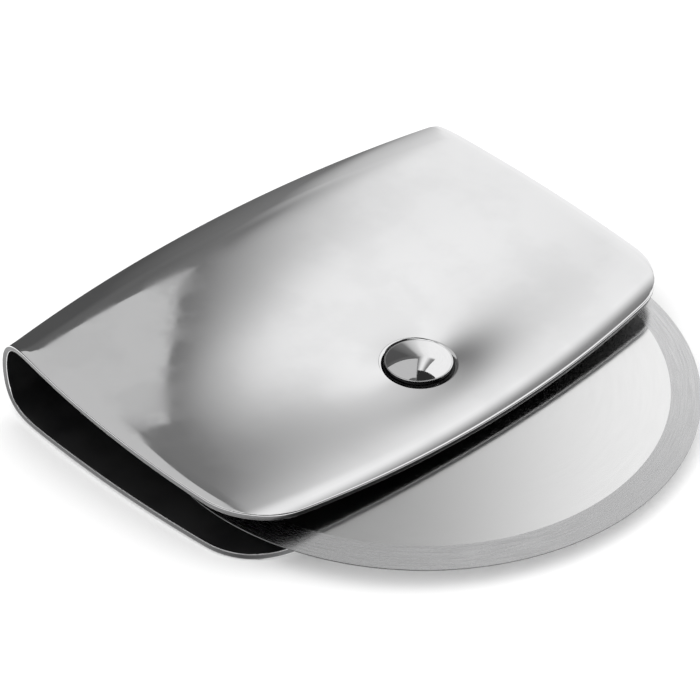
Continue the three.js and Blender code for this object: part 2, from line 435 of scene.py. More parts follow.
@dataclass(frozen=True)
class SatinEdge(Finish):
    """Sheared steel, deburred and brushed: the cut edge of the sheet.

    Attributes:
        valley: The colour in the brush lines.
        ridge: The colour between them.
        roughness: The roughness of clean and of handled steel.
        smudge_scale: The smudges per millimetre.
        line_scale: The brush lines per millimetre.
        line_range: The range of the noise that the lines show.
        line_depth: The depth of the lines, in millimetres.
        line_strength: The share of that depth that shows.
    """

    valley: Colour = (0.17, 0.17, 0.172)
    ridge: Colour = (0.21, 0.21, 0.212)
    roughness: Pair = (0.28, 0.36)
    smudge_scale: float = 0.5
    line_scale: float = 9.0
    line_range: Pair = (0.3, 0.7)
    line_depth: float = 0.002
    line_strength: float = 0.2

    def lay(self, sheet: FinishSheet) -> None:
        """Draws the brush lines and lays smudges over them."""
        scales = {"Smudge Scale": self.smudge_scale, "Hairline Scale": self.line_scale}
        marks = sheet.group(handling_marks(), scales).outputs
        line = sheet.ranged(marks["Hairline"], self.line_range)
        sheet.feed(Metallic=1.0, Base_Color=sheet.tinted(line, self.valley, self.ridge))
        sheet.feed(Roughness=sheet.ranged(marks["Smudge"], UNIT_RANGE, self.roughness))
        sheet.bumped(line, self.line_strength, self.line_depth)


@dataclass(frozen=True)
class PaintedShade(Finish):
    """Painted shade: a near-black colour laid inside the fold and on the seats round the axle heads, where
    shade falls.

    Attributes:
        deep: The colour of the painted shade.
        rubbed: The colour where it has been wiped.
        roughness: The roughness of the painted shade and of the wiped places.
        sheen: The level of its mirror reflection.
        smudge_scale: The wiped places per millimetre.
        grain_scale: The grains per millimetre.
        grain_detail: The octaves of finer grain.
        grain_depth: The depth of the grain, in millimetres.
        grain_strength: The share of that depth that shows.
    """

    deep: Colour = (0.008, 0.008, 0.0085)
    rubbed: Colour = (0.014, 0.014, 0.0145)
    roughness: Pair = (0.34, 0.46)
    sheen: float = 0.35
    smudge_scale: float = 0.12
    grain_scale: float = 7.0
    grain_detail: float = 2.0
    grain_depth: float = 0.02
    grain_strength: float = 0.05

    def lay(self, sheet: FinishSheet) -> None:
        """Lays wiped places over the painted shade and gives it a fine grain."""
        wiped = sheet.group(handling_marks(), {"Smudge Scale": self.smudge_scale}).outputs["Smudge"]
        sheet.feed(Base_Color=sheet.tinted(wiped, self.deep, self.rubbed), Specular_IOR_Level=self.sheen)
        sheet.feed(Roughness=sheet.ranged(wiped, UNIT_RANGE, self.roughness))
        grain = sheet.noise(sheet.place, self.grain_scale, self.grain_detail)
        sheet.bumped(grain, self.grain_strength, self.grain_depth)


@dataclass(frozen=True)
class GroundSteel(Finish):
    """Steel with lines round the axle, from a lathe, a polishing wheel or a grinding wheel.

    Attributes:
        valley: The colour in the lines.
        ridge: The colour between them.
        roughness: The roughness between the lines and in them.
        lines_per_mm: The lines along a radius.
        breaks: How often the lines break up round the axle.
        depth: The lines' depth, in millimetres.
        strength: The share of that depth that shows.
        line_range: The range of the noise that the lines show.
    """

    valley: Colour
    ridge: Colour
    roughness: Pair
    lines_per_mm: float
    breaks: float
    depth: float
    strength: float = 0.5
    line_range: Pair = (0.28, 0.72)

    def lay(self, sheet: FinishSheet) -> None:
        """Draws the lines in colour, roughness and depth."""
        scales = {"Lines per mm": self.lines_per_mm, "Breaks": self.breaks}
        line = sheet.ranged(sheet.group(turning_lines(), scales).outputs["Lines"], self.line_range)
        sheet.feed(Metallic=1.0, Base_Color=sheet.tinted(line, self.valley, self.ridge))
        sheet.feed(Roughness=sheet.ranged(line, UNIT_RANGE, self.roughness[::-1]))
        sheet.bumped(line, self.strength, self.depth)


@dataclass(frozen=True)
class MouldedPlastic(Finish):
    """Plain moulded or turned plastic, with a faint cloud and faint turning lines.

    Attributes:
        deep: The darker of its two colours.
        pale: The paler of its two colours.
        roughness: The roughness in the lines and between them.
        cloud_scale: The clouds per millimetre.
        cloud_detail: The octaves of finer cloud.
        cloud_range: The range of the noise that the clouds show.
        lines_per_mm: The lines along a radius.
        breaks: How often the lines break up round the axle.
        line_range: The range of the noise that the lines show.
        line_depth: The depth of the lines, in millimetres.
        line_strength: The share of that depth that shows.
    """

    deep: Colour
    pale: Colour
    roughness: Pair = (0.35, 0.5)
    cloud_scale: float = 0.6
    cloud_detail: float = 4.0
    cloud_range: Pair = (0.35, 0.65)
    lines_per_mm: float = 7.0
    breaks: float = 2.0
    line_range: Pair = (0.3, 0.7)
    line_depth: float = 0.01
    line_strength: float = 0.25

    def lay(self, sheet: FinishSheet) -> None:
        """Clouds the colour and draws the lines."""
        scales = {"Lines per mm": self.lines_per_mm, "Breaks": self.breaks}
        lines = sheet.group(turning_lines(), scales).outputs["Lines"]
        cloud = sheet.ranged(sheet.noise(sheet.place, self.cloud_scale, self.cloud_detail), self.cloud_range)
        sheet.feed(Base_Color=sheet.tinted(cloud, self.deep, self.pale))
        sheet.feed(Roughness=sheet.ranged(lines, self.line_range, self.roughness))
        sheet.bumped(lines, self.line_strength, self.line_depth)


SHEET_OUTSIDE = MirrorPolish("sheet_mirror_polish")
# Painted shade: the inside of the fold and the seats round the axle heads are coloured near black.
SHEET_PAINTED_SHADE = PaintedShade("sheet_inside_painted_shade")
SHEET_EDGE = SatinEdge("sheet_cut_edge")
BLADE_FLAT = GroundSteel(
    "blade_polished_flat", valley=(0.97, 0.97, 0.97), ridge=(0.98, 0.98, 0.98), roughness=(0.16, 0.17),
    lines_per_mm=1.5, breaks=6.0, depth=0.00003,
)
BLADE_BEVEL = GroundSteel(
    "blade_ground_bevel", valley=(0.62, 0.62, 0.625), ridge=(0.71, 0.71, 0.715), roughness=(0.24, 0.30),
    lines_per_mm=6.0, breaks=8.0, depth=0.002,
)
BLADE_EDGE = GroundSteel(
    "blade_honed_edge", valley=(0.2, 0.2, 0.203), ridge=(0.26, 0.26, 0.263), roughness=(0.25, 0.35),
    lines_per_mm=9.0, breaks=20.0, depth=0.003,
)
AXLE_POLISH = GroundSteel(
    "axle_turned_polish", valley=(0.82, 0.82, 0.825), ridge=(0.85, 0.85, 0.855), roughness=(0.03, 0.05),
    lines_per_mm=6.0, breaks=3.0, depth=0.0003,
)
# Painted shade: the side walls of the axle heads are coloured near black.
AXLE_PAINTED_SHADE = GroundSteel(
    "axle_side_painted_shade", valley=(0.015, 0.015, 0.016), ridge=(0.022, 0.022, 0.023), roughness=(0.2, 0.3),
    lines_per_mm=6.0, breaks=3.0, depth=0.0003,
)
WASHER_STEEL = GroundSteel(
    "washer_rolled_steel", valley=(0.48, 0.48, 0.49), ridge=(0.62, 0.62, 0.63), roughness=(0.3, 0.42),
    lines_per_mm=4.0, breaks=12.0, depth=0.008,
)
WASHER_NYLON = MouldedPlastic("washer_natural_nylon", deep=(0.76, 0.745, 0.69), pale=(0.84, 0.83, 0.79))
BUSH_ACETAL = MouldedPlastic("bush_black_acetal", deep=(0.018, 0.018, 0.019), pale=(0.035, 0.035, 0.036))


# Mesh building


def spun(profile: Sequence[Pair], segments: int, closed: bool) -> BMesh:
    """Spins a profile about the axle.

    Args:
        profile: Pairs of radius and height.
        segments: The steps round the axle.
        closed: Whether the last point joins the first.

    Returns:
        The spun mesh, with its faces pointing outwards.
    """
    bm = bmesh.new()
    verts = [bm.verts.new((radius, 0.0, height)) for radius, height in profile]
    pairs = list(zip(verts, verts[1:]))
    if closed:
        pairs.append((verts[-1], verts[0]))
    edges = [bm.edges.new(pair) for pair in pairs]
    bmesh.ops.spin(
        bm, geom=[*verts, *edges], cent=ORIGIN, axis=UP, angle=math.tau, steps=segments, use_merge=True,
    )
    bmesh.ops.remove_doubles(bm, verts=bm.verts[:], dist=MERGE_DISTANCE)
    bmesh.ops.recalc_face_normals(bm, faces=bm.faces[:])
    return bm


def drawn_out(bm: BMesh, loop: list[BMEdge]) -> tuple[list[BMVert], list[BMEdge]]:
    """Extrudes an open loop of edges.

    Args:
        bm: The mesh.
        loop: The loop's edges.

    Returns:
        The points and the edges of the new loop.
    """
    made = bmesh.ops.extrude_edge_only(bm, edges=loop)["geom"]
    verts = [item for item in made if isinstance(item, BMVert)]
    return verts, [item for item in made if isinstance(item, BMEdge) and item.is_boundary]


def ease_corners(
    bm: BMesh, edges: list[BMEdge], width: float, segments: int, clamp: bool = True,
) -> list[BMFace]:
    """Rounds edges over.

    Args:
        bm: The mesh.
        edges: The edges to round.
        width: The width taken off each face.
        segments: The steps of the round.
        clamp: Whether the width shrinks where edges lie close together.

    Returns:
        The faces of the round.
    """
    result = bmesh.ops.bevel(
        bm, geom=edges, offset=width, offset_type="OFFSET", segments=segments, profile=0.5,
        affect="EDGES", clamp_overlap=clamp, material=-1,
    )
    return result["faces"]


def sharp_edges(bm: BMesh, angle: float) -> list[BMEdge]:
    """The edges whose two faces turn by more than an angle in degrees."""
    limit = math.radians(angle)
    return [edge for edge in bm.edges if edge.is_manifold and edge.calc_face_angle() > limit]


def crease(bm: BMesh, angle: float) -> None:
    """Shades faces smooth, and breaks the shading at edges that turn by more than an angle in degrees."""
    for face in bm.faces:
        face.smooth = True
    for edge in sharp_edges(bm, angle):
        edge.smooth = False


def placed(name: str, bm: BMesh, materials: Sequence[Material]) -> Object:
    """Turns a mesh into an object of the scene.

    Args:
        name: The object's name.
        bm: The mesh, which is used up.
        materials: The materials, in the order that its faces count them.

    Returns:
        The object.
    """
    mesh = bpy.data.meshes.new(name)
    bm.to_mesh(mesh)
    bm.free()
    for material in materials:
        mesh.materials.append(material)
    made = bpy.data.objects.new(name, mesh)
    bpy.context.scene.collection.objects.link(made)
    return made


@dataclass(frozen=True)
class Piece:
    """A finished piece: its name, the body it rides on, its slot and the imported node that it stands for."""

    name: str
    body: Body
    slot: Slot
    node: str

    def finish(self, bm: BMesh, finishes: Sequence[Finish]) -> Object:
        """Turns a mesh in level millimetres into the piece.

        Args:
            bm: The mesh, which is used up.
            finishes: The finishes, in the order that its faces count them.

        Returns:
            The piece, riding on its body.
        """
        bmesh.ops.transform(bm, matrix=AXLE.matrix, verts=bm.verts[:])
        piece = placed(self.name, bm, [finish.material() for finish in finishes])
        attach(piece, self.body.value)
        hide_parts(self.node)
        LOG.info("%s: %d faces, on %s", self.name, len(piece.data.polygons), self.body.value)
        return piece


# The folded sheet


@dataclass(frozen=True)
class Arc:
    """An arc of a circle in plan, from one angle to another."""

    centre: Vector
    radius: float
    start: float
    end: float

    @classmethod
    def between(cls, centre: Vector, radius: float, first: Vector, last: Vector) -> "Arc":
        """Makes the arc about a centre from one point on it to another.

        Args:
            centre: The circle's centre.
            radius: The circle's radius.
            first: The point where the arc starts.
            last: The point where it ends.

        Returns:
            The arc.
        """
        ends = [math.atan2(point.y - centre.y, point.x - centre.x) for point in (first, last)]
        return cls(centre, radius, *ends)

    @property
    def length(self) -> float:
        """The arc's length."""
        return abs(self.end - self.start) * self.radius

    def point(self, share: float) -> Vector:
        """The point at a share of the arc's length."""
        angle = blend(self.start, self.end, share)
        return self.centre + self.radius * Vector((math.cos(angle), math.sin(angle)))


@dataclass(frozen=True)
class Outline:
    """A run of arcs, one after another."""

    arcs: tuple[Arc, ...]

    def point(self, share: float) -> Vector:
        """The point at a share of the whole run's length."""
        left = share * sum(arc.length for arc in self.arcs)
        for arc in self.arcs[:-1]:
            if left <= arc.length:
                return arc.point(left / arc.length)
            left -= arc.length
        return self.arcs[-1].point(min(left / self.arcs[-1].length, 1.0))


def meeting(centre_a: Vector, radius_a: float, centre_b: Vector, radius_b: float) -> Vector:
    """Finds where two circles meet, on the side of +X.

    Args:
        centre_a: The first circle's centre.
        radius_a: The first circle's radius.
        centre_b: The second circle's centre.
        radius_b: The second circle's radius.

    Returns:
        The meeting point.
    """
    line = centre_b - centre_a
    along = (radius_a ** 2 - radius_b ** 2 + line.length_squared) / (2.0 * line.length)
    aside = math.sqrt(radius_a ** 2 - along ** 2)
    direction = line.normalized()
    foot = centre_a + direction * along
    normal = Vector((-direction.y, direction.x))
    return max((foot + normal * aside, foot - normal * aside), key=lambda point: point.x)


class SheetFace(IntEnum):
    """The material numbers of the sheet's faces."""

    OUTSIDE = 0
    INSIDE = 1
    EDGE = 2


@dataclass
class FoldedSheet:
    """The handle: one sheet folded in two over the blade, with a pressed seat for each axle head."""

    thickness: float = 1.2
    fold_reach: float = 57.5
    fold_bow_radius: float = 274.0
    fold_crest_radius: float = 12.5
    side_reach: float = field(default_factory=lambda: node_width("handle_sheet") / 2.0)
    side_crest: float = 19.5
    side_bow_radius: float = 260.0
    lip_reach: float = 19.0
    lip_bow_radius: float = 250.0
    corner_radius: float = 13.5
    height_lines: tuple[float, ...] = (44.0, 22.0, 0.0, -19.0)
    middle_heights: tuple[float, ...] = (7.75, 6.1, 4.6, 3.05)
    side_heights: tuple[float, ...] = (7.5, 6.15, 5.35, 4.25)
    valley_depth: float = 1.0
    valley_line: float = 5.0
    valley_spread: Pair = (36.0, 14.0)
    dimple_depth: float = 0.35
    dimple_spread: Pair = (8.7, 4.9)
    seat_height: float = 3.1
    seat_radius: float = 6.4
    seat_rim_radius: float = 7.1
    # Painted shade: the outer skin within this radius of the axle, the seat under and just round each head,
    # is coloured near black.
    painted_shade_radius: float = 6.5
    collar_radius: float = 7.6
    collar_rings: int = 16
    lip_roll: float = 0.15
    lip_roll_width: float = 4.0
    end_roll: float = 0.1
    end_roll_width: float = 2.5
    hole_radius: float = 3.15
    outer_ease: float = 0.22
    inner_ease: float = 0.13
    ease_steps: int = 3
    crease_angle: float = 35.0
    columns: int = 140
    rows: int = 300
    crest_crowding: float = 3.0
    middle_crowding: float = 0.55
    fold_end: Vector = field(init=False)
    corner_middle: Vector = field(init=False)
    side_edge: Outline = field(init=False)
    lip_edge: Outline = field(init=False)

    def __post_init__(self) -> None:
        """Works out the outline: three bowed edges, with a round corner between each side and the lip."""
        side = Vector((self.side_reach - self.side_bow_radius, self.side_crest))
        lip = Vector((0.0, self.lip_bow_radius - self.lip_reach))
        fold = Vector((0.0, self.fold_reach - self.fold_bow_radius))
        corner_radius = self.corner_radius
        self.fold_end = meeting(side, self.side_bow_radius, fold, self.fold_bow_radius)
        corner = meeting(lip, self.lip_bow_radius - corner_radius, side, self.side_bow_radius - corner_radius)
        side_touch = side + (corner - side).normalized() * self.side_bow_radius
        lip_touch = lip + (corner - lip).normalized() * self.lip_bow_radius
        outwards = ((side_touch + lip_touch) / 2.0 - corner).normalized()
        self.corner_middle = corner + outwards * corner_radius
        lip_middle = Vector((0.0, -self.lip_reach))
        self.side_edge = Outline((
            Arc.between(side, self.side_bow_radius, self.fold_end, side_touch),
            Arc.between(corner, corner_radius, side_touch, self.corner_middle),
        ))
        self.lip_edge = Outline((
            Arc.between(lip, self.lip_bow_radius, lip_middle, lip_touch),
            Arc.between(corner, corner_radius, lip_touch, self.corner_middle),
        ))

    def fold_line(self, x: float) -> float:
        """The fold's crest line in plan."""
        return self.fold_reach - self.fold_bow_radius + math.sqrt(self.fold_bow_radius ** 2 - x ** 2)

    def plan(self, across: float, depth: float) -> Vector:
        """Finds a place in plan, blended from the four edges so that the outer lines follow the outline.

        Args:
            across: From -1 to 1 along the fold.
            depth: From 0 at the fold to 1 at the lip.

        Returns:
            The place.
        """
        side = self.side_edge.point(depth)
        lip = self.lip_edge.point(abs(across))
        fold_x = across * self.fold_end.x
        corner_x = blend(self.fold_end.x, self.corner_middle.x, depth)
        corner_y = blend(self.fold_end.y, self.corner_middle.y, depth)
        x = blend(fold_x, math.copysign(lip.x, across), depth) + across * (side.x - corner_x)
        y = blend(self.fold_line(fold_x), lip.y, depth) + side.y - corner_y
        return Vector((x, y))

    def height_along(self, heights: Sequence[float], y: float) -> float:
        """The cubic through four heights given at the height lines."""
        total = 0.0
        for line, height in zip(self.height_lines, heights):
            for other in self.height_lines:
                if other != line:
                    height *= (y - other) / (line - other)
            total += height
        return total

    def height(self, x: float, y: float) -> float:
        """Finds the height of the upper cheek over the blade's middle plane.

        Args:
            x: The place along the fold.
            y: The place towards the fold.

        Returns:
            The height of the middle of the sheet.
        """
        middle = self.height_along(self.middle_heights, y)
        swept = blend(middle, self.height_along(self.side_heights, y), (x / self.side_reach) ** 2)
        pressed = swept - hollow(self.valley_depth, self.valley_spread, x, y - self.valley_line)
        pressed -= self.edge_roll(x, y)
        pressed -= hollow(self.dimple_depth, self.dimple_spread, x, y)
        off_seat = eased(math.hypot(x, y), self.seat_radius, self.seat_rim_radius)
        return blend(self.seat_height, pressed, off_seat)

    def edge_roll(self, x: float, y: float) -> float:
        """Finds how far the cheek rolls down towards its lip and its sides, where polishing has rounded it.

        Args:
            x: The place along the fold.
            y: The place towards the fold.

        Returns:
            The drop of the middle of the sheet.
        """
        from_lip = y + self.lip_reach - x ** 2 / (2.0 * self.lip_bow_radius)
        side = self.side_reach - (y - self.side_crest) ** 2 / (2.0 * self.side_bow_radius)
        from_side = side - abs(x)
        at_lip = max(1.0 - from_lip / self.lip_roll_width, 0.0)
        at_side = max(1.0 - from_side / self.end_roll_width, 0.0)
        return self.lip_roll * at_lip ** 2 + self.end_roll * at_side ** 2

    def middle(self, across: float, along: float) -> Vector:
        """Finds a point on the middle of the sheet's thickness.

        Args:
            across: From -1 to 1 along the fold.
            along: From -1 at the upper lip, round the fold at 0, to 1 at the lower lip.

        Returns:
            The point.
        """
        share = abs(along)
        depth = (1.0 + self.crest_crowding) * share ** 2 / (1.0 + self.crest_crowding * share)
        plan = self.plan(across, depth)
        behind_crest = max(self.fold_line(plan.x) - plan.y, 0.0)
        height = self.height(plan.x, plan.y)
        shortfall = math.exp(-2.0 * self.fold_crest_radius * behind_crest / height ** 2)
        rounded = height * math.sqrt(1.0 - shortfall)
        return Vector((plan.x, plan.y, math.copysign(rounded, -along)))

    def press_seats(self, bm: BMesh) -> None:
        """Replaces both cheeks' grid round the axle with rings that follow the seat down to the hole."""
        inside = [face for face in bm.faces if face.calc_center_median().xy.length < self.collar_radius]
        bmesh.ops.delete(bm, geom=inside, context="FACES")
        near = 2.0 * self.collar_radius
        loop = [edge for edge in bm.edges if edge.is_boundary and edge.verts[0].co.xy.length < near]
        self.draw_ring({vert for edge in loop for vert in edge.verts}, self.collar_radius)
        shares = [(step + 1) / self.collar_rings for step in range(self.collar_rings)]
        radii = [blend(self.collar_radius, self.seat_radius, share) for share in shares]
        for radius in [*radii, self.hole_radius]:
            verts, loop = drawn_out(bm, loop)
            self.draw_ring(verts, radius)

    def draw_ring(self, verts: Iterable[BMVert], radius: float) -> None:
        """Moves points straight towards or from the axle, on to a circle and the cheek's height there."""
        for vert in verts:
            vert.co.xy = vert.co.xy.normalized() * radius
            vert.co.z = math.copysign(self.height(vert.co.x, vert.co.y), vert.co.z)

    def thicken(self, bm: BMesh) -> tuple[set[BMFace], set[BMFace]]:
        """Draws the middle of the sheet out to both sides.

        Args:
            bm: The middle of the sheet, with its faces pointing outwards.

        Returns:
            The faces of the outer skin and of the inner skin.
        """
        outward = bm.verts.layers.float_vector.new("outward")
        for vert in bm.verts:
            vert[outward] = vert.normal
        outer_verts = bm.verts[:]
        outer_skin = set(bm.faces)
        made = bmesh.ops.extrude_face_region(bm, geom=bm.faces[:], use_keep_orig=True)["geom"]
        half = self.thickness / 2.0
        for vert in outer_verts:
            vert.co += vert[outward] * half
        for vert in (item for item in made if isinstance(item, BMVert)):
            vert.co -= vert[outward] * half
        return outer_skin, {item for item in made if isinstance(item, BMFace)}

    def build(self) -> Object:
        """Models the sheet from a grid, gives it its thickness and eases its edges.

        Returns:
            The finished piece.
        """
        bm = bmesh.new()
        bmesh.ops.create_grid(bm, x_segments=self.columns, y_segments=self.rows, size=1.0)
        for vert in bm.verts:
            across = vert.co.x * blend(self.middle_crowding, 1.0, vert.co.x ** 2)
            vert.co = self.middle(across, vert.co.y)
        self.press_seats(bm)
        bmesh.ops.recalc_face_normals(bm, faces=bm.faces[:])
        crest = max(bm.faces, key=lambda face: face.calc_center_median().y)
        if crest.normal.y < 0.0:
            bmesh.ops.reverse_faces(bm, faces=bm.faces[:])
        bm.normal_update()
        outer_skin, inner_skin = self.thicken(bm)
        # Painted shade: the inner skin inside the fold, and the outer skin in the seat round each axle head,
        # take the near-black painted shade.
        for face in bm.faces:
            in_painted_shade = face.calc_center_median().xy.length < self.painted_shade_radius
            if face in inner_skin or (face in outer_skin and in_painted_shade):
                face.material_index = SheetFace.INSIDE
            elif face not in outer_skin:
                face.material_index = SheetFace.EDGE
        bmesh.ops.recalc_face_normals(bm, faces=bm.faces[:])
        self.ease_edges(bm, outer_skin, self.outer_ease)
        self.ease_edges(bm, inner_skin, self.inner_ease)
        crease(bm, self.crease_angle)
        return self.dress(bm)

    def ease_edges(self, bm: BMesh, skin: set[BMFace], width: float) -> None:
        """Rounds one skin's outer edge into the cut edge.

        Args:
            bm: The mesh.
            skin: The faces of the skin.
            width: The width of the round.
        """
        rim = []
        for edge in bm.edges:
            faces = edge.link_faces
            if len(faces) == 2 and (faces[0] in skin) != (faces[1] in skin):
                if edge.verts[0].co.xy.length > self.seat_radius:
                    rim.append(edge)
        for face in ease_corners(bm, rim, width, self.ease_steps, clamp=False):
            face.material_index = SheetFace.OUTSIDE

    def dress(self, bm: BMesh) -> Object:
        """Gives the sheet its polish, its painted shade and its cut edge finish, and hands it over as a
        piece.

        Args:
            bm: The modelled sheet.

        Returns:
            The finished piece.
        """
        piece = Piece("folded_sheet", Body.HANDLE, Slot.SHEET, "handle_sheet")
        return piece.finish(bm, [SHEET_OUTSIDE, SHEET_PAINTED_SHADE, SHEET_EDGE])


# The blade and its hub


class BladeFace(IntEnum):
    """The material numbers of the blade's faces."""

    FLAT = 0
    BEVEL = 1
    EDGE = 2


@dataclass
class Blade:
    """The round blade, with polished flats and a ground bevel on both sides."""

    diameter: float = field(default_factory=lambda: node_width("cutting_blade"))
    thickness: float = 1.0
    bevel_width: float = 5.4
    edge_width: float = 0.2
    bore_radius: float = 4.55
    segments: int = 256
    crease_angle: float = 2.0

    def build(self) -> Object:
        """Models the blade by spinning its section.

        Returns:
            The finished piece.
        """
        rim = self.diameter / 2.0
        flat = rim - self.bevel_width
        half = self.thickness / 2.0
        half_edge = self.edge_width / 2.0
        upper = [(self.bore_radius, half), (flat, half), (rim, half_edge)]
        lower = [(radius, -height) for radius, height in reversed(upper)]
        bm = spun([*upper, *lower], self.segments, closed=True)
        for face in bm.faces:
            centre = face.calc_center_median()
            if centre.xy.length > flat:
                on_edge = abs(centre.z) < half_edge
                face.material_index = BladeFace.EDGE if on_edge else BladeFace.BEVEL
        crease(bm, self.crease_angle)
        self.soften_round(bm)
        return self.dress(bm)

    def soften_round(self, bm: BMesh) -> None:
        """Keeps the shading whole round the blade, where the facets of its rim and bevel meet."""
        for edge in bm.edges:
            first, last = (Vector((vert.co.xy.length, vert.co.z)) for vert in edge.verts)
            if (first - last).length > MERGE_DISTANCE:
                edge.smooth = True

    def dress(self, bm: BMesh) -> Object:
        """Gives the blade its three finishes and hands it over as a piece.

        Args:
            bm: The modelled blade.

        Returns:
            The finished piece.
        """
        piece = Piece("round_blade", Body.BLADE, Slot.BLADE, "cutting_blade")
        return piece.finish(bm, [BLADE_FLAT, BLADE_BEVEL, BLADE_EDGE])


@dataclass
class Ring:
    """A bush or a washer: a turned ring with eased corners."""

    piece: Piece
    finish: Finish
    bore_radius: float
    outer_radius: float
    bottom: float
    top: float
    ease: float = 0.06
    ease_steps: int = 2
    corner_angle: float = 40.0
    crease_angle: float = 25.0
    segments: int = 96

    def build(self) -> Object:
        """Models the ring by spinning its section, and eases its corners.

        Returns:
            The finished piece.
        """
        section = [
            (self.bore_radius, self.bottom), (self.outer_radius, self.bottom),
            (self.outer_radius, self.top), (self.bore_radius, self.top),
        ]
        bm = spun(section, self.segments, closed=True)
        ease_corners(bm, sharp_edges(bm, self.corner_angle), self.ease, self.ease_steps)
        crease(bm, self.crease_angle)
        return self.piece.finish(bm, [self.finish])


@dataclass
class Hub:
    """What the blade runs on: a bush, two thrust washers and two backing washers."""

    bush_radii: Pair = (3.05, 4.5)
    bush_reach: float = 1.0
    thrust_radii: Pair = (4.65, 7.5)
    thrust_heights: Pair = (0.6, 1.0)
    backing_radii: Pair = (3.15, 6.0)
    backing_heights: Pair = (1.1, 2.35)

    def build(self) -> list[Object]:
        """Models the five rings.

        Returns:
            The finished pieces.
        """
        bush = Piece("plain_bush", Body.BLADE, Slot.BUSH, "hub_bush")
        rings = [Ring(bush, BUSH_ACETAL, *self.bush_radii, -self.bush_reach, self.bush_reach)]
        for side in Side:
            word = side.name.lower()
            thrust = Piece(f"{word}_nylon_washer", Body.HANDLE, Slot.NYLON_WASHER, f"{word}_thrust_washer")
            backing = Piece(f"{word}_steel_washer", Body.HANDLE, Slot.STEEL_WASHER, f"{word}_backing_washer")
            low, high = sorted(side.value * height for height in self.thrust_heights)
            rings.append(Ring(thrust, WASHER_NYLON, *self.thrust_radii, low, high))
            low, high = sorted(side.value * height for height in self.backing_heights)
            rings.append(Ring(backing, WASHER_STEEL, *self.backing_radii, low, high))
        return [ring.build() for ring in rings]


# The axle


class AxleEnd(Enum):
    """The two halves of the axle: the tube that the blade turns on, and the screw that closes it."""

    BARREL = "axle_barrel"
    SCREW = "axle_screw"


class AxleFace(IntEnum):
    """The material numbers of an axle half's faces."""

    POLISH = 0
    # Painted shade on the head's side wall.
    SIDE = 1


